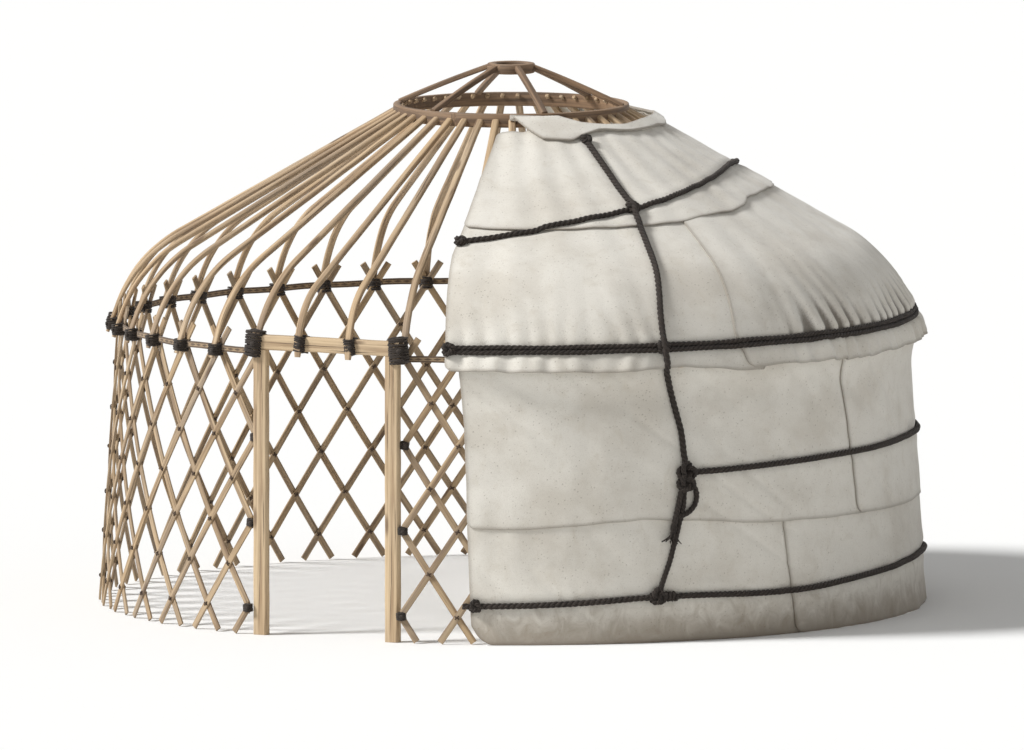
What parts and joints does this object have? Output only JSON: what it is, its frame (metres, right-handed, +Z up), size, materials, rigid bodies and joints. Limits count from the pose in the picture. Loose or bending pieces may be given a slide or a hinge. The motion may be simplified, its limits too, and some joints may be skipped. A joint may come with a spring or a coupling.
{
  "type": "half-covered yurt",
  "caption": "Round trellis-walled tent with a domed pole roof, open doorway and crown ring, its felt cover and ropes fitted on one half only.",
  "frame": {"origin": "middle of the round wall's footprint, at ground level", "axes": "+Z up; the doorway faces -Y; the felt-covered half is on +X and the bare half on -X"},
  "size_m": [5.1752, 5.1466, 3.3703],
  "materials": {
    "frame_wood": "matt",
    "pole_wood": "matt",
    "crown_wood": "matt",
    "door_wood": "matt",
    "felt": "matt",
    "band": "matt",
    "rope": "matt"
  },
  "bodies": {
    "root": {"lattice_section_1": "frame_wood", "lattice_section_2": "frame_wood", "lattice_section_3": "frame_wood", "lattice_section_4": "frame_wood", "lattice_section_5": "frame_wood", "lattice_section_6": "frame_wood", "door_post_left": "door_wood", "door_post_right": "door_wood", "door_lintel": "door_wood", "head_band": "band", "roof_poles_1": "pole_wood", "roof_poles_2": "pole_wood", "roof_poles_3": "pole_wood", "roof_poles_4": "pole_wood", "roof_poles_5": "pole_wood", "roof_poles_6": "pole_wood", "door_poles": "pole_wood", "crown_rim": "crown_wood", "crown_hub": "crown_wood", "crown_spokes": "crown_wood", "wall_felt_lower_front": "felt", "wall_felt_lower_back": "felt", "wall_felt_upper_front": "felt", "wall_felt_upper_back": "felt", "roof_felt_lower_front": "felt", "roof_felt_lower_back": "felt", "roof_felt_upper": "felt", "crown_flap": "felt", "rope_girth": "rope", "rope_roof": "rope", "rope_mid": "rope", "rope_low": "rope", "rope_down_front": "rope", "rope_down_back": "rope"}
  },
  "joints": []
}
